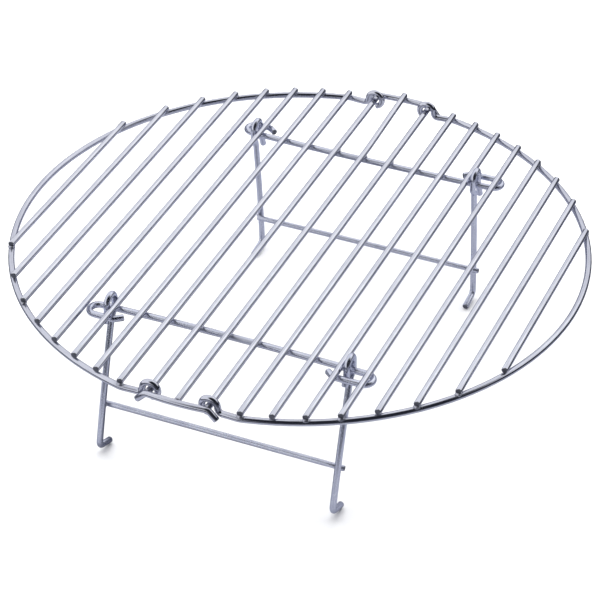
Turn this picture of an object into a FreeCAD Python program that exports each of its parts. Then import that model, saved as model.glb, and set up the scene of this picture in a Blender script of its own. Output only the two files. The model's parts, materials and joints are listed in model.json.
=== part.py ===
import FreeCAD, Part
import math
import os

# Folding round cooling rack: a slatted wire grid in three hinged sections on two
# leg frames that swing in flat underneath it.
# Millimetres. +X across the slats, +Y along the slats to the back, +Z up.
# Origin: on the floor, under the middle of the grid.

V = FreeCAD.Vector

# ---------------------------------------------------------------- driving sizes
RIM_R = 163.2            # centre line of the round rim
WIRE_R = 1.83            # slats, rims, cross wires and legs: 3.66 mm wire
BRACE_R = 1.60           # lighter wire between the two legs of a frame
SLAT_Z = 91.5            # centre height of the wing slats
GAP = 0.30               # play left between pieces that move past each other
SET = 0.12               # depth the wires sink into each other at a weld
BUTT_SET = 0.40          # the same where a slat butts end-on against a rim

HINGE_X = 17.0           # fold lines of the two wings, along the outer mid slats
FIRST_SLAT_X = 34.3      # first wing slat from the middle
PITCH = 16.1             # spacing of the wing slats
SLATS_PER_WING = 8
SLAT_OVER_BACK = 0.4     # slat end past the rim's centre line, back
SLAT_OVER_FRONT = 0.5    # the same at the front
RISE_FROM = 104.0        # where the middle slat starts to rise, to lie on the back mid rim
RISE_BEND = 80.0

CROSS_Y = 98.0           # cross wires, from the middle
RETURN_Y = 9.4           # spacing of the bent-back end of a cross wire
FRONT_ENDS = (76.1, 80.4, 60.0)   # front cross wire: left and right straight ends, tips
BACK_ENDS = (73.6, 80.4, 61.0)    # the same at the back
NIP_X = 4.5              # length of the tip that nips in
NIP_Y = 3.6              # how far it nips in
NIP_BEND = 4.0

HOOK_Y = 159.1           # plane of the hinge hooks
HOOK_R = 4.45            # centre-line radius of a hinge hook
HOOK_IN = 80.0           # where the hook's round begins and ends, from its top
HOOK_OUT = -160.0
HOOK_END = 0.8           # straight end past the round
HOOK_FOOT_BEND = 2.6     # bend where the rim turns up into the hook
HOOK_FOOT_SINK = 0.2     # how far that bend dips below the rim
ROOT_X = 22.0            # where the round rim ends, outwards from the hinge
LEAD_X = 5.0             # length of the straight lead that follows
LEAD_BEND = 12.0
MID_RIM_FRONT = 164.0    # centre lines of the two short mid rims
MID_RIM_BACK = 165.3
TAIL_FROM = 17.9         # where the mid rims' tails begin and end
TAIL_X = 22.9
TAIL_INSET = 4.1         # tail tip's plane, outwards from the hooks
TAIL_DROP = 5.0          # how far the tails dip
TAIL_BEND = 4.0
MID_BOW_CUT = 20.0       # the mid rims bow a little more than their circle

LEG_X = 70.5             # legs, from the middle
EYE_R = 4.6              # centre-line half width of a leg's eye
EYE_SHIFT = 0.5          # eye's middle, outwards from the cross wire
EYE_TOP = 8.4            # eye's centre line above the cross wire
EYE_LOW = 2.2            # where the eye's inner side turns towards the knee
KNEE_DROP = 5.9          # knee below the cross wire
KNEE_BEND = 3.0
STOP_BEND = 5.0
HEEL_BEND = 3.4

# outward lean of the legs (run over rise), knee outwards from the cross wire
FRONT_LEAN = (0.290, 0.2)
BACK_LEAN = (0.115, -0.9)
FRONT_STOP = (2.3, 6.0)  # stop tail of a leg: outward run and fall
BACK_STOP = (5.2, 13.0)
FRONT_FOOT = (12.5, 4.6) # foot: inward run, and fall from heel to tip
BACK_FOOT = (13.5, 1.8)
FRONT_BRACE = (30.6, 2.2, 2.6)   # brace: height, and how far it passes the left and right legs
BACK_BRACE = (25.1, 0.6, 4.6)

CORE_Z = SLAT_Z - GAP - SET                 # mid slats, and the wings' fold axis
CROSS_Z = SLAT_Z - 2.0 * WIRE_R - GAP       # cross wires
WING_RIM_Z = SLAT_Z - 2.0 * WIRE_R + SET    # rims of the wings


# ---------------------------------------------------------------- bent wire
def bent_wire(corners, bends, radius):
    """Round wire along a line of corners; bends holds each inner corner's radius."""
    pts = [V(*c) for c in corners]
    count = len(pts)
    starts = []
    stops = []
    for i in range(1, count - 1):
        d_in = (pts[i] - pts[i - 1]).normalize()
        d_out = (pts[i + 1] - pts[i]).normalize()
        turn = d_in.getAngle(d_out)
        reach = bends[i - 1] * math.tan(turn / 2.0)
        starts.append(pts[i] - d_in * reach)
        stops.append(pts[i] + d_out * reach)
    solids = []
    here = pts[0]
    for i in range(1, count):
        d_in = (pts[i] - pts[i - 1]).normalize()
        goal = starts[i - 1] if i < count - 1 else pts[i]
        length = (goal - here).dot(d_in)
        if length > 0.005:
            solids.append(Part.makeCylinder(radius, length, here, d_in))
            here = goal
        if i < count - 1:
            d_out = (pts[i + 1] - pts[i]).normalize()
            axis = d_in.cross(d_out).normalize()
            centre = starts[i - 1] + axis.cross(d_in) * bends[i - 1]
            turn = math.degrees(d_in.getAngle(d_out))
            ring = Part.Wire([Part.makeCircle(radius, starts[i - 1], d_in)])
            solids.append(Part.Face(ring).revolve(centre, axis, turn))
            here = stops[i - 1]
    shape = solids[0]
    if len(solids) > 1:
        shape = solids[0].multiFuse(solids[1:]).removeSplitter()
    if len(shape.Solids) != 1:
        raise ValueError("wire is not one solid")
    return shape.Solids[0]


def keep(shape, name):
    """Write one sub-part."""
    if not shape.isValid():
        raise ValueError("bad shape: " + name)
    shape.exportStep("parts/" + name + ".step")


def circle_y(x, radius):
    """Half chord of the rim at x."""
    return math.sqrt(radius * radius - x * x)


# ---------------------------------------------------------------- slats
def wing_slat(side, index):
    """One slat of a wing, lying on the wing's rim."""
    x = FIRST_SLAT_X + PITCH * index
    half = circle_y(x, RIM_R)
    front = -(half + SLAT_OVER_FRONT)
    back = half + SLAT_OVER_BACK
    return Part.makeCylinder(WIRE_R, back - front, V(side * x, front, SLAT_Z), V(0, 1, 0))


def butt_y(x, radius):
    """Where a slat ends that butts on the inside of a mid rim."""
    return circle_y(x, radius) - WIRE_R + BUTT_SET


def hinge_slat(side):
    """Outer slat of the mid section; its ends pass through the wings' hooks."""
    front = -butt_y(HINGE_X, MID_RIM_FRONT)
    back = butt_y(HINGE_X, MID_RIM_BACK)
    return Part.makeCylinder(WIRE_R, back - front, V(side * HINGE_X, front, CORE_Z), V(0, 1, 0))


def middle_slat():
    """Middle slat: butts on the front mid rim, rises to lie on the back one."""
    corners = [
        (0, -butt_y(0, MID_RIM_FRONT), CORE_Z),
        (0, RISE_FROM, CORE_Z),
        (0, MID_RIM_BACK + SLAT_OVER_BACK, CORE_Z + 2.0 * WIRE_R - SET),
    ]
    return bent_wire(corners, [RISE_BEND], WIRE_R)


# ---------------------------------------------------------------- rims
def wing_rim(side):
    """Rim of one wing: most of a half circle, with a hook over the hinge at each end."""
    end_x = HINGE_X + ROOT_X
    end_y = circle_y(end_x, RIM_R)
    end_a = math.acos(-end_x / RIM_R)
    span = 2.0 * (math.pi - end_a)
    steps = 4
    arcs = []
    for i in range(steps):
        mid = end_a + span * (i + 0.5) / steps
        far = RIM_R / math.cos(span / steps / 2.0)
        arcs.append((far * math.cos(mid), far * math.sin(mid), WING_RIM_Z))
    # corner where the rim leaves its circle towards the hook
    lead = (-end_x + LEAD_X, end_y + LEAD_X * end_x / end_y, WING_RIM_Z)
    # straight rise, tangent to the hook's round
    a = math.radians(HOOK_IN)
    foot_z = WING_RIM_Z - HOOK_FOOT_SINK
    rise = CORE_Z + HOOK_R * math.cos(a) - foot_z
    foot = (-HINGE_X - HOOK_R * math.sin(a) - rise / math.tan(a), HOOK_Y, foot_z)
    # round of the hook: two corners outside it, then its cut end
    half_turn = (HOOK_IN - HOOK_OUT) / 4.0
    wide = HOOK_R / math.cos(math.radians(half_turn))
    over = []
    for angle in (HOOK_IN - half_turn, HOOK_OUT + half_turn):
        a = math.radians(angle)
        over.append((-HINGE_X - wide * math.sin(a), HOOK_Y, CORE_Z + wide * math.cos(a)))
    a = math.radians(HOOK_OUT)
    last = (-HINGE_X - HOOK_R * math.sin(a) + HOOK_END * math.cos(a), HOOK_Y,
            CORE_Z + HOOK_R * math.cos(a) + HOOK_END * math.sin(a))
    back = [last, over[1], over[0], foot, lead]
    back_bends = [HOOK_R, HOOK_R, HOOK_FOOT_BEND, LEAD_BEND]
    front = [(p[0], -p[1], p[2]) for p in reversed(back)]
    corners = back + arcs + front
    bends = back_bends + [RIM_R] * steps + back_bends[::-1]
    if side > 0:
        corners = [(-p[0], p[1], p[2]) for p in corners]
    return bent_wire(corners, bends, WIRE_R)


def mid_rim(side, radius):
    """Short rim of the mid section, level with its slats; its tails dip beside the wings' rims."""
    y = circle_y(TAIL_FROM, radius)
    tail_y = HOOK_Y + TAIL_INSET
    peak = radius * radius / y
    corners = [
        (-TAIL_X, side * tail_y, CORE_Z - TAIL_DROP),
        (-TAIL_FROM, side * y, CORE_Z),
        (0, side * peak, CORE_Z),
        (TAIL_FROM, side * y, CORE_Z),
        (TAIL_X, side * tail_y, CORE_Z - TAIL_DROP),
    ]
    return bent_wire(corners, [TAIL_BEND, radius - MID_BOW_CUT, TAIL_BEND], WIRE_R)


# ---------------------------------------------------------------- cross wires
def cross_wire(side, ends):
    """Wire across the slats; each end turns back on itself and nips in at its tip."""
    y = side * CROSS_Y
    out = side * (CROSS_Y + RETURN_Y)
    tip = side * (CROSS_Y + RETURN_Y - NIP_Y)
    loop = RETURN_Y / 2.0
    left = -(ends[0] + loop)
    right = ends[1] + loop
    corners = [
        (-ends[2], tip, CROSS_Z),
        (-ends[2] - NIP_X, out, CROSS_Z),
        (left, out, CROSS_Z),
        (left, y, CROSS_Z),
        (right, y, CROSS_Z),
        (right, out, CROSS_Z),
        (ends[2] + NIP_X, out, CROSS_Z),
        (ends[2], tip, CROSS_Z),
    ]
    bends = [NIP_BEND, loop, loop, loop, loop, NIP_BEND]
    return bent_wire(corners, bends, WIRE_R)


# ---------------------------------------------------------------- leg frames
def leg_spots(lean, stop, foot):
    """Outward and upward positions of a leg's corners, from the cross wire."""
    slope, knee_out = lean
    run, fall = foot
    tip = WIRE_R * math.cos(math.atan2(fall, run)) - CROSS_Z
    heel = (knee_out + slope * (-KNEE_DROP - tip - fall), tip + fall)
    inner = EYE_SHIFT - EYE_R
    outer = EYE_SHIFT + EYE_R
    return [
        (heel[0] - run, tip),
        heel,
        (knee_out, -KNEE_DROP),
        (inner, -EYE_LOW),
        (inner, EYE_TOP),
        (outer, EYE_TOP),
        (outer, 0.0),
        (outer + stop[0], -stop[1]),
    ]


def leg(side, end, spots):
    """One leg: foot on its tip, upright, eye round the cross wire, and the stop tail."""
    corners = []
    for out, up in spots:
        corners.append((end * LEG_X, side * (CROSS_Y + out), CROSS_Z + up))
    bends = [HEEL_BEND, KNEE_BEND, KNEE_BEND, EYE_R, EYE_R, STOP_BEND]
    return bent_wire(corners, bends, WIRE_R)


def brace(side, lean, place):
    """Straight wire welded across the inner sides of a frame's two legs."""
    slope, knee_out = lean
    height, past_left, past_right = place
    out = knee_out + slope * (CROSS_Z - KNEE_DROP - height)
    tilt = math.atan(slope)
    off = WIRE_R + BRACE_R - SET
    y = side * (CROSS_Y + out - off * math.cos(tilt))
    z = height - off * math.sin(tilt)
    left = -(LEG_X + past_left)
    length = 2.0 * LEG_X + past_left + past_right
    return Part.makeCylinder(BRACE_R, length, V(left, y, z), V(1, 0, 0))


# ---------------------------------------------------------------- build
os.makedirs("parts", exist_ok=True)

for side, word in ((-1, "left"), (1, "right")):
    for index in range(SLATS_PER_WING):
        keep(wing_slat(side, index), "slat_%s_%d" % (word, index + 1))
    keep(hinge_slat(side), "slat_hinge_" + word)
    keep(wing_rim(side), "rim_" + word)
keep(middle_slat(), "slat_middle")

for side, word, mid_r, ends, lean, stop, foot, place in (
    (-1, "front", MID_RIM_FRONT, FRONT_ENDS, FRONT_LEAN, FRONT_STOP, FRONT_FOOT, FRONT_BRACE),
    (1, "back", MID_RIM_BACK, BACK_ENDS, BACK_LEAN, BACK_STOP, BACK_FOOT, BACK_BRACE),
):
    keep(mid_rim(side, mid_r), "rim_mid_" + word)
    keep(cross_wire(side, ends), "cross_wire_" + word)
    keep(brace(side, lean, place), "brace_" + word)
    spots = leg_spots(lean, stop, foot)
    for end, hand in ((-1, "left"), (1, "right")):
        keep(leg(side, end, spots), "leg_%s_%s" % (word, hand))
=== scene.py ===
import json
import math

import bpy
import numpy as np
from mathutils import Matrix, Vector

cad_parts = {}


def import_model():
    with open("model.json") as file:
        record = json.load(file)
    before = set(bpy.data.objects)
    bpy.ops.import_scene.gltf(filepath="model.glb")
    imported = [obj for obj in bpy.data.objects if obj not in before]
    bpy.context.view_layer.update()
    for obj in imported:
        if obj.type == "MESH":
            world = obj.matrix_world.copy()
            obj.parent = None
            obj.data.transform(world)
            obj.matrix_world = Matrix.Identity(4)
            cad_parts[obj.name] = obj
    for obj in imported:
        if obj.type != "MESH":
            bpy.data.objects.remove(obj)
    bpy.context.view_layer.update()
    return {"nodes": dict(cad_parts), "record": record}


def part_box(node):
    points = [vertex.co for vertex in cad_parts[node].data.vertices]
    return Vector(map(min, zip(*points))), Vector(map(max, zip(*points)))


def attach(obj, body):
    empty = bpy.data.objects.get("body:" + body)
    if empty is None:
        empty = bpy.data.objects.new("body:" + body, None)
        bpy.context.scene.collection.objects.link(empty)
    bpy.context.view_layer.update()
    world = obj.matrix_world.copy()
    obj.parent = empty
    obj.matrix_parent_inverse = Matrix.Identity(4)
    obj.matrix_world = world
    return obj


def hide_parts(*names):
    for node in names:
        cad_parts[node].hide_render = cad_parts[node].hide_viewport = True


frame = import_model()
nodes = frame["nodes"]
record = frame["record"]
MM = 0.001

# ------------------------------------------------------------------ camera numbers
UNIT = 0.1632 / 178.0            # metres in one unit of the fitted camera
AZIMUTH = math.radians(22.81)    # camera to the right of the front
ELEVATION = math.radians(35.80)
ROLL = math.radians(0.39)
DISTANCE = 1409.8 * UNIT
LENS_PX = 2365.1                 # focal length in pixels of a 600-pixel picture
TARGET = (25.76 * UNIT, -60.76 * UNIT)   # where the axis meets the plane of the slats
SENSOR = 36.0                    # sensor width in millimetres
PICTURE = 600.0                  # width of the picture in pixels

# ------------------------------------------------------------------ wire numbers
SEGMENTS = 32                    # faces round a wire
TURN_STEP = math.radians(7.0)    # most that the line turns between two rings
RUN_STEP = 12 * MM               # longest stretch between two rings
END_ROUND = 0.32 * MM            # rounding of a sheared end
RING_MIN = 60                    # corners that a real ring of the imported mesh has, at least
CENTRE_GRID = 0.05 * MM          # corners whose centres round to one cell of this grid share a ring
CENTRE_REACH = 0.28 * MM         # cells nearer than this are one ring that rounding has split
WIRE_REACH = 20 * MM             # runs of two wires further apart than this are not compared
WELD_FADE = 3.2 * MM             # reach of the rougher plating and painted contact shade round a weld
BEAD = (1.95 * MM, 0.95 * MM)    # weld bead: half width, half height
BEAD_RINGS, BEAD_SEGMENTS = 9, 18
BEAD_SINK = 0.06 * MM            # the bead's middle lies this far inside the second wire
BEAD_DULL_AND_SHADE = 0.8                  # how rough a bead's plating is and how much painted shade darkens it, from 0 to 1

# ------------------------------------------------------------------ studio numbers
DARK_TOWARD = (0.55, -0.62, 0.80)    # middle of the dark side of the room
DARK_SPAN = (0.56, 0.76)             # cosines of the angle from it, from bright to dark
BRIGHT_TOWARD = (-0.35, 0.0, 0.94)   # away from the low right, which is dark too
BRIGHT_SPAN = (-0.04, 0.14)
PANEL_TOWARD = (0.22, 0.72, 0.66)    # small bright panel at the back
PANEL_SPAN = (0.975, 0.992)
PANEL_SHARE = 0.6
ROOM_DARK = (0.02, 0.022, 0.03)
ROOM_BRIGHT = (0.92, 0.93, 0.97)
PANEL_TONE = (1.5, 1.5, 1.5)
BACKDROP = (0.90, 0.91, 0.93)        # the plain wall that the camera sees
FLOOR_TONE = (0.93, 0.93, 0.93)
FLOOR_NEAR = (0.25, (0.42, 0.43, 0.48))     # painted shade on the floor as the wires mirror it: reach and tone
FLOOR_FAR = (0.38, (0.06, 0.065, 0.08))
FLOOR_PAINTED_SHADOW = ((-0.03, -0.045, 0.0), (0.06, 0.12), (0.09, 0.095, 0.12))   # painted shadow under the grid, seen only in reflections: middle, reach, tone
FLOOR_RADIUS = 5.0
FLOOR_GAP = 0.3 * MM                 # the floor lies this far under the feet
OVERHEAD = ((-0.3, 0.3, 2.2), 3.0, 84)      # overhead light: place, side, power in watts


# ------------------------------------------------------------------ wires
def ring_line(obj, radius):
    """Centre points and directions along a packed wire, read back from its rings of vertices."""
    mesh = obj.data
    n_loops = len(mesh.loops)
    co = np.zeros(len(mesh.vertices) * 3)
    mesh.vertices.foreach_get("co", co)
    co = co.reshape(-1, 3)
    index = np.zeros(n_loops, int)
    mesh.loops.foreach_get("vertex_index", index)
    normal = np.zeros(n_loops * 3)
    mesh.corner_normals.foreach_get("vector", normal)
    normal = normal.reshape(-1, 3)
    centre = co[index] - normal * radius
    keys = [tuple(k) for k in np.round(centre / CENTRE_GRID).astype(int)]
    groups = {}
    for loop, key in enumerate(keys):
        groups.setdefault(key, []).append(loop)
    # join groups that rounding has split
    heads = []
    owner = {}
    for key in sorted(groups, key=lambda k: -len(groups[k])):
        mean = centre[groups[key]].mean(0)
        for i, head in enumerate(heads):
            if np.abs(head[0] - mean).max() < CENTRE_REACH:
                head[1].extend(groups[key])
                owner[key] = i
                break
        else:
            owner[key] = len(heads)
            heads.append([mean, list(groups[key])])
    rings = [i for i, h in enumerate(heads) if len(h[1]) >= RING_MIN]
    place = {i: centre[heads[i][1]].mean(0) for i in rings}
    along = {}
    for i in rings:
        ns = normal[heads[i][1]]
        vectors = np.linalg.eigh(ns.T @ ns)[1]
        along[i] = vectors[:, 0]
    links = {i: set() for i in rings}
    for poly in mesh.polygons:
        found = {owner[keys[l]] for l in poly.loop_indices} & set(place)
        for i in found:
            links[i] |= found - {i}
    ends = []
    for i in rings:
        steps_away = [place[j] - place[i] for j in links[i]]
        if all(a.dot(b) > 0 for a in steps_away for b in steps_away):
            ends.append(i)
    if len(ends) != 2:
        raise ValueError(obj.name + ": rings do not make one line, ends " + str(len(ends)))
    path = [ends[0]]
    while True:
        here = Vector(place[path[-1]])
        ahead = [i for i in links[path[-1]] if i not in path]
        if not ahead:
            break
        path.append(min(ahead, key=lambda i: (Vector(place[i]) - here).length))
    if len(path) != len(rings):
        raise ValueError(obj.name + ": the line misses rings")
    points = [Vector(place[i]) for i in path]
    ways = []
    for k, i in enumerate(path):
        ahead = points[min(k + 1, len(points) - 1)] - points[max(k - 1, 0)]
        way = Vector(along[i])
        ways.append(way if way.dot(ahead) > 0 else -way)
    return points, ways


def finer(points, ways):
    """The same line with enough stations for smooth bends and even faces."""
    out = [points[0]]
    turn = [ways[0]]
    for k in range(1, len(points)):
        a, b = points[k - 1], points[k]
        ta, tb = ways[k - 1].normalized(), ways[k].normalized()
        span = (b - a).length
        count = max(1, math.ceil(ta.angle(tb, 0.0) / TURN_STEP), math.ceil(span / RUN_STEP))
        for j in range(1, count + 1):
            t = j / count
            h = (2 * t ** 3 - 3 * t ** 2 + 1, t ** 3 - 2 * t ** 2 + t,
                 3 * t ** 2 - 2 * t ** 3, t ** 3 - t ** 2)
            out.append(a * h[0] + ta * (h[1] * span) + b * h[2] + tb * (h[3] * span))
            turn.append((ta * (1 - t) + tb * t).normalized())
    return out, turn


def tube(name, points, ways, radius, welds):
    """A wire with softly sheared ends. Its points carry their place on the wire and the welds."""
    first, last = ways[0], ways[-1]
    body = [(p, w, radius, 0.0) for p, w in zip(points, ways)]
    body[0] = (points[0] + first * END_ROUND, first, radius, 0.0)
    body[-1] = (points[-1] - last * END_ROUND, last, radius, 0.0)
    r = END_ROUND
    # distance in from the end, radius there, and whether it is on the sheared face
    caps = [(0.30 * r, radius - 0.30 * r, 0.0),
            (0.0, radius - r, 1.0),
            (0.02 * r, radius * 0.45, 1.0)]
    start = [(points[0] + first * d, first, q, c) for d, q, c in reversed(caps)]
    stop = [(points[-1] - last * d, last, q, c) for d, q, c in caps]
    rows = start + body + stop
    side = rows[0][1].orthogonal().normalized()
    verts = []
    marks = []
    length = 0.0
    before = None
    for p, w, q, cut in rows:
        if before is not None:
            length += (p - before).length
        before = p
        side = (side - w * side.dot(w)).normalized()
        other = w.cross(side)
        for j in range(SEGMENTS):
            a = 2 * math.pi * j / SEGMENTS
            out = side * math.cos(a) + other * math.sin(a)
            verts.append(p + out * q)
            marks.append((math.cos(a) * radius, math.sin(a) * radius, length, cut))
    faces = []
    for i in range(len(rows) - 1):
        for j in range(SEGMENTS):
            k = (j + 1) % SEGMENTS
            faces.append((i * SEGMENTS + j, i * SEGMENTS + k,
                          (i + 1) * SEGMENTS + k, (i + 1) * SEGMENTS + j))
    for row, flip in ((0, True), (len(rows) - 1, False)):
        centre = len(verts)
        verts.append(rows[row][0])
        marks.append((0.0, 0.0, 0.0 if flip else length, 1.0))
        for j in range(SEGMENTS):
            k = (j + 1) % SEGMENTS
            pair = (row * SEGMENTS + j, row * SEGMENTS + k)
            faces.append((centre, pair[1], pair[0]) if flip else (centre, pair[0], pair[1]))
    mesh = bpy.data.meshes.new(name)
    mesh.from_pydata(verts, [], faces)
    mesh.shade_smooth()
    obj = bpy.data.objects.new(name, mesh)
    bpy.context.scene.collection.objects.link(obj)
    marks = np.array(marks)
    co = np.array([v[:] for v in verts])
    near = np.zeros(len(co))
    for spot in welds:
        d = np.linalg.norm(co - np.array(spot), axis=1)
        near = np.maximum(near, np.exp(-(d / WELD_FADE) ** 2))
    on_wire = mesh.attributes.new("on_wire", "FLOAT_VECTOR", "POINT")
    on_wire.data.foreach_set("vector", (marks[:, :3] / MM).astype(np.float32).ravel())
    for label, values in (("cut", marks[:, 3]), ("weld", near)):
        attribute = mesh.attributes.new(label, "FLOAT", "POINT")
        attribute.data.foreach_set("value", values.astype(np.float32))
    return obj


def nearest(line_a, line_b):
    """Closest points of two wires' lines."""
    best = (1e9, None, None)
    for a0, a1 in zip(line_a, line_a[1:]):
        for b0, b1 in zip(line_b, line_b[1:]):
            if (a0 - b0).length > (a1 - a0).length + (b1 - b0).length + WIRE_REACH:
                continue
            da, db, r = a1 - a0, b1 - b0, a0 - b0
            A, B, C = da.dot(da), da.dot(db), db.dot(db)
            D, E = da.dot(r), db.dot(r)
            det = A * C - B * B
            s = min(1.0, max(0.0, (B * E - C * D) / det)) if det > 1e-18 else 0.0
            t = min(1.0, max(0.0, (B * s + E) / C))
            s = min(1.0, max(0.0, (B * t - D) / A))
            pa, pb = a0 + da * s, b0 + db * t
            d = (pa - pb).length
            if d < best[0]:
                best = (d, pa, pb)
    return best[1:]


# ------------------------------------------------------------------ materials
def add(tree, kind, **values):
    """A new node with its settings."""
    n = tree.nodes.new(kind)
    for key, value in values.items():
        setattr(n, key, value)
    return n


def link(tree, a, b):
    tree.links.new(a, b)


def noise(tree, vector, scale, detail, rough):
    n = add(tree, "ShaderNodeTexNoise")
    n.inputs["Scale"].default_value = scale
    n.inputs["Detail"].default_value = detail
    n.inputs["Roughness"].default_value = rough
    link(tree, vector, n.inputs["Vector"])
    return n.outputs["Fac"]


def stretch(tree, vector, scale):
    """The vector scaled differently along each axis."""
    m = add(tree, "ShaderNodeMapping")
    m.inputs["Scale"].default_value = scale
    link(tree, vector, m.inputs["Vector"])
    return m.outputs["Vector"]


def span(tree, value, low, high, to_low, to_high):
    """A value taken from one range to another, and held at its ends."""
    m = add(tree, "ShaderNodeMapRange")
    ends = {"From Min": low, "From Max": high, "To Min": to_low, "To Max": to_high}
    for key, number in ends.items():
        m.inputs[key].default_value = number
    link(tree, value, m.inputs["Value"])
    return m.outputs["Result"]


def mix(tree, factor, a, b):
    """Blend of two colours, each fixed or from a node."""
    m = add(tree, "ShaderNodeMix", data_type="RGBA")
    link(tree, factor, m.inputs["Factor"])
    for slot, value in (("A", a), ("B", b)):
        socket = [s for s in m.inputs if s.name == slot and s.type == "RGBA"][0]
        if isinstance(value, tuple):
            socket.default_value = (*value, 1.0)
        else:
            link(tree, value, socket)
    return [s for s in m.outputs if s.type == "RGBA"][0]


def plated(name, light, dark, rough, edge):
    """Bright plating on drawn wire: long drawing lines, clouds, rougher welds and sheared ends,
    painted contact shade at the welds and a painted dark reflection on the sheared ends.
    """
    mat = bpy.data.materials.new(name)
    mat.use_nodes = True
    tree = mat.node_tree
    shader = tree.nodes["Principled BSDF"]
    shader.inputs["Metallic"].default_value = 1.0
    shader.inputs["Specular Tint"].default_value = (*edge, 1.0)
    where = add(tree, "ShaderNodeAttribute", attribute_name="on_wire").outputs["Vector"]
    weld = add(tree, "ShaderNodeAttribute", attribute_name="weld").outputs["Fac"]
    cut = add(tree, "ShaderNodeAttribute", attribute_name="cut").outputs["Fac"]
    lines = noise(tree, stretch(tree, where, (2.6, 2.6, 0.035)), 1.0, 3.0, 0.6)
    cloud = noise(tree, stretch(tree, where, (0.35, 0.35, 0.06)), 1.0, 4.0, 0.6)
    grain = noise(tree, where, 3.0, 4.0, 0.65)
    # colour
    base = mix(tree, span(tree, cloud, 0.30, 0.70, 0.0, 1.0), light, dark)
    streak = mix(tree, span(tree, lines, 0.52, 0.72, 0.0, 0.45), base,
                 tuple(0.72 * c for c in dark))
    # painted shade: the colour darkens towards grey round each weld, standing in for the shade
    # where two wires meet
    painted_weld_shade = mix(tree, span(tree, weld, 0.25, 1.0, 0.0, 0.45), streak, (0.42, 0.43, 0.48))
    # painted reflection: the sheared end faces are coloured dark, standing in for the dark front
    # that they mirror
    end = mix(tree, cut, painted_weld_shade, (0.19, 0.195, 0.22))
    link(tree, end, shader.inputs["Base Color"])
    # roughness: lines and grain, duller at welds and ends
    r1 = span(tree, grain, 0.3, 0.7, rough - 0.035, rough + 0.05)
    r2 = add(tree, "ShaderNodeMath", operation="MULTIPLY_ADD")
    link(tree, weld, r2.inputs[0])
    r2.inputs[1].default_value = 0.18
    link(tree, r1, r2.inputs[2])
    r3 = add(tree, "ShaderNodeMath", operation="MULTIPLY_ADD")
    link(tree, cut, r3.inputs[0])
    r3.inputs[1].default_value = 0.25
    link(tree, r2.outputs[0], r3.inputs[2])
    link(tree, r3.outputs[0], shader.inputs["Roughness"])
    # fine relief
    relief = add(tree, "ShaderNodeMath", operation="MULTIPLY_ADD")
    link(tree, grain, relief.inputs[0])
    relief.inputs[1].default_value = 0.35
    link(tree, lines, relief.inputs[2])
    bump = add(tree, "ShaderNodeBump")
    bump.inputs["Strength"].default_value = 0.12
    bump.inputs["Distance"].default_value = 0.00006
    link(tree, relief.outputs[0], bump.inputs["Height"])
    link(tree, bump.outputs["Normal"], shader.inputs["Normal"])
    return mat


mats = {
    "slat_wire": plated("plated_slat", light=(0.80, 0.81, 0.87), dark=(0.66, 0.67, 0.74),
                        rough=0.12, edge=(0.66, 0.67, 0.74)),
    "rim_wire": plated("plated_rim", light=(0.74, 0.75, 0.82), dark=(0.58, 0.59, 0.67),
                       rough=0.15, edge=(0.60, 0.61, 0.68)),
    "leg_wire": plated("plated_leg", light=(0.80, 0.82, 0.91), dark=(0.62, 0.64, 0.75),
                       rough=0.24, edge=(0.66, 0.68, 0.77)),
}

# ------------------------------------------------------------------ build the wires
slot_of = {p["node"]: p["material_slot"] for p in record["subparts"]}
bodies = record["behaviour"]["bodies"]
body_of = {n: b for b, members in bodies.items() for n in members}


def half_width(name, axis):
    """Half of a node's extent: the radius of a straight wire."""
    low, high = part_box(name)
    return (high[axis] - low[axis]) / 2.0


WIRE_R = half_width("slat_left_1", 0)
BRACE_R = half_width("brace_front", 2)
radius_of = {n: BRACE_R if n.startswith("brace") else WIRE_R for n in nodes}
lines = {n: ring_line(nodes[n], radius_of[n]) for n in sorted(nodes)}

weld_spots = {n: [] for n in nodes}
beads = {b: [] for b in bodies}
for a, b in record["behaviour"]["press_fits"]:
    pa, pb = nearest(lines[a][0], lines[b][0])
    across = (pb - pa).normalized()
    spot = pb - across * (radius_of[b] - BEAD_SINK)
    weld_spots[a].append(spot)
    weld_spots[b].append(spot)
    beads[body_of[a]].append((spot, across))

for n in sorted(nodes):
    points, ways = finer(*lines[n])
    wire = tube("wire_" + n, points, ways, radius_of[n], weld_spots[n])
    wire.data.materials.append(mats[slot_of[n]])
    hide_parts(n)
    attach(wire, body_of[n])


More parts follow.
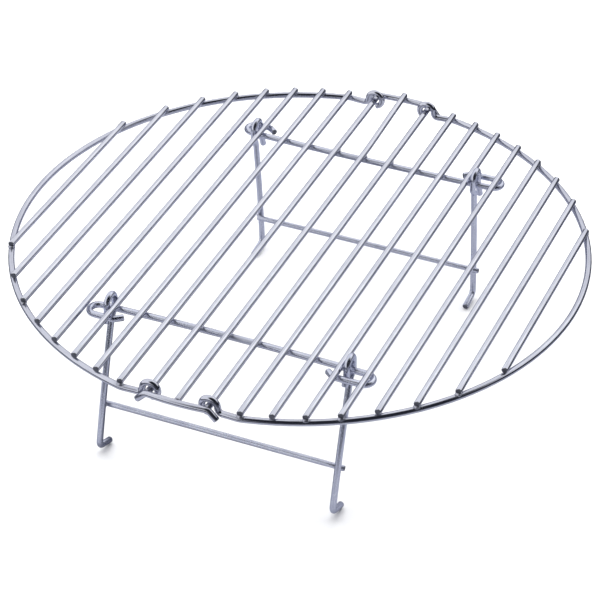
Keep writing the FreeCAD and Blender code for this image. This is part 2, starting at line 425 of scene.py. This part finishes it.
def bead_mesh(name, spots):
    """Weld beads: flat lumps of metal pressed out where two wires meet."""
    verts = []
    faces = []
    rings, segments = BEAD_RINGS, BEAD_SEGMENTS
    for number, (spot, across) in enumerate(spots):
        side = across.orthogonal().normalized()
        other = across.cross(side)
        start = len(verts)
        for i in range(rings + 1):
            lat = math.pi * (i / rings - 0.5)
            count = 1 if i in (0, rings) else segments
            for j in range(count):
                a = 2 * math.pi * j / segments
                lump = (1.0 + 0.06 * math.sin(3 * a + number)
                        + 0.04 * math.sin(5 * a + 2.3 * number))
                wide = BEAD[0] * math.cos(lat) * lump
                verts.append(spot + side * (wide * math.cos(a)) + other * (wide * math.sin(a))
                             + across * (BEAD[1] * math.sin(lat)))
        for i in range(rings):
            for j in range(segments):
                k = (j + 1) % segments
                lower = start + 1 + (i - 1) * segments
                upper = lower + segments
                if i == 0:
                    faces.append((start, start + 1 + k, start + 1 + j))
                elif i == rings - 1:
                    faces.append((lower + j, lower + k, upper))
                else:
                    faces.append((lower + j, lower + k, upper + k, upper + j))
    mesh = bpy.data.meshes.new(name)
    mesh.from_pydata(verts, [], faces)
    mesh.shade_smooth()
    co = np.array([v[:] for v in verts]) / MM
    on_wire = mesh.attributes.new("on_wire", "FLOAT_VECTOR", "POINT")
    on_wire.data.foreach_set("vector", co.astype(np.float32).ravel())
    # every bead takes the rougher plating and the painted contact shade
    weld = mesh.attributes.new("weld", "FLOAT", "POINT")
    weld.data.foreach_set("value", np.full(len(co), BEAD_DULL_AND_SHADE, np.float32))
    obj = bpy.data.objects.new(name, mesh)
    bpy.context.scene.collection.objects.link(obj)
    return obj


for body, spots in beads.items():
    if spots:
        slot = "leg_wire" if body.endswith("legs") else "rim_wire"
        obj = bead_mesh("welds_" + body, spots)
        obj.data.materials.append(mats[slot])
        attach(obj, body)


# ------------------------------------------------------------------ camera, light and floor
def camera():
    """Camera at the photograph's viewing angle."""
    fwd = Vector((-math.sin(AZIMUTH) * math.cos(ELEVATION),
                  math.cos(AZIMUTH) * math.cos(ELEVATION), -math.sin(ELEVATION)))
    right = Vector((math.cos(AZIMUTH), math.sin(AZIMUTH), 0.0))
    up = right.cross(fwd)
    tilted_right = right * math.cos(ROLL) + up * math.sin(ROLL)
    tilted_up = up * math.cos(ROLL) - right * math.sin(ROLL)
    low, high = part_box("slat_left_1")
    place = Vector((*TARGET, (low.z + high.z) / 2.0)) - fwd * DISTANCE
    data = bpy.data.cameras.new("camera")
    data.sensor_width = SENSOR
    data.lens = LENS_PX / PICTURE * SENSOR
    cam = bpy.data.objects.new("camera", data)
    bpy.context.scene.collection.objects.link(cam)
    cam.matrix_world = Matrix([
        (*[v[i] for v in (tilted_right, tilted_up, -fwd)], place[i]) for i in range(3)
    ] + [(0, 0, 0, 1)])
    bpy.context.scene.camera = cam


def toward(tree, vector, direction):
    """Cosine of the angle between the vector and a direction."""
    dot = add(tree, "ShaderNodeVectorMath", operation="DOT_PRODUCT")
    link(tree, vector, dot.inputs[0])
    dot.inputs[1].default_value = Vector(direction).normalized()
    return dot.outputs["Value"]


def world():
    """A soft bright room, dark in front and low on the right."""
    w = bpy.data.worlds.new("studio")
    bpy.context.scene.world = w
    w.use_nodes = True
    tree = w.node_tree
    sky = add(tree, "ShaderNodeTexCoord").outputs["Generated"]
    rear = span(tree, toward(tree, sky, DARK_TOWARD), *DARK_SPAN, 1.0, 0.0)
    high = span(tree, toward(tree, sky, BRIGHT_TOWARD), *BRIGHT_SPAN, 0.0, 1.0)
    both = add(tree, "ShaderNodeMath", operation="MULTIPLY")
    link(tree, rear, both.inputs[0])
    link(tree, high, both.inputs[1])
    tone = mix(tree, both.outputs[0], ROOM_DARK, ROOM_BRIGHT)
    panel = span(tree, toward(tree, sky, PANEL_TOWARD), *PANEL_SPAN, 0.0, PANEL_SHARE)
    tone = mix(tree, panel, tone, PANEL_TONE)
    seen = add(tree, "ShaderNodeLightPath").outputs["Is Camera Ray"]
    tone = mix(tree, seen, tone, BACKDROP)
    link(tree, tone, tree.nodes["Background"].inputs["Color"])


def distance(tree, vector, point):
    """Distance between the vector's place and a point."""
    apart = add(tree, "ShaderNodeVectorMath", operation="DISTANCE")
    link(tree, vector, apart.inputs[0])
    apart.inputs[1].default_value = point
    return apart.outputs["Value"]


def floor():
    """Plain pale floor. The wires mirror it with painted shade: darker far away and a painted
    shadow under the grid.
    """
    bpy.ops.mesh.primitive_circle_add(vertices=128, radius=FLOOR_RADIUS, fill_type="NGON",
                                      location=(0, 0, -FLOOR_GAP))
    f = bpy.context.object
    f.name = "floor"
    mat = bpy.data.materials.new("pale_floor")
    mat.use_nodes = True
    tree = mat.node_tree
    shader = tree.nodes["Principled BSDF"]
    shader.inputs["Roughness"].default_value = 0.9
    shader.inputs["Specular IOR Level"].default_value = 0.0
    path = add(tree, "ShaderNodeLightPath")
    place = add(tree, "ShaderNodeTexCoord").outputs["Object"]
    far = span(tree, distance(tree, place, (0, 0, 0)), FLOOR_NEAR[0], FLOOR_FAR[0], 0.0, 1.0)
    mirrored = mix(tree, far, FLOOR_NEAR[1], FLOOR_FAR[1])
    middle, reach, dim = FLOOR_PAINTED_SHADOW
    outside = span(tree, distance(tree, place, middle), *reach, 0.0, 1.0)
    mirrored = mix(tree, outside, dim, mirrored)
    # reflection rays see the painted shade, all other rays the plain pale floor
    tone = mix(tree, path.outputs["Is Glossy Ray"], FLOOR_TONE, mirrored)
    link(tree, tone, shader.inputs["Base Color"])
    f.data.materials.append(mat)


def overhead(place, side, power):
    """One wide soft light from above, which the wires do not mirror."""
    data = bpy.data.lights.new("overhead", "AREA")
    data.shape = "SQUARE"
    data.size = side
    data.energy = power
    obj = bpy.data.objects.new("overhead", data)
    bpy.context.scene.collection.objects.link(obj)
    obj.location = place
    obj.rotation_euler = (-Vector(place)).to_track_quat("-Z", "Y").to_euler()
    obj.visible_glossy = False


camera()
world()
floor()
overhead(*OVERHEAD)
bpy.context.scene.view_settings.view_transform = "Standard"
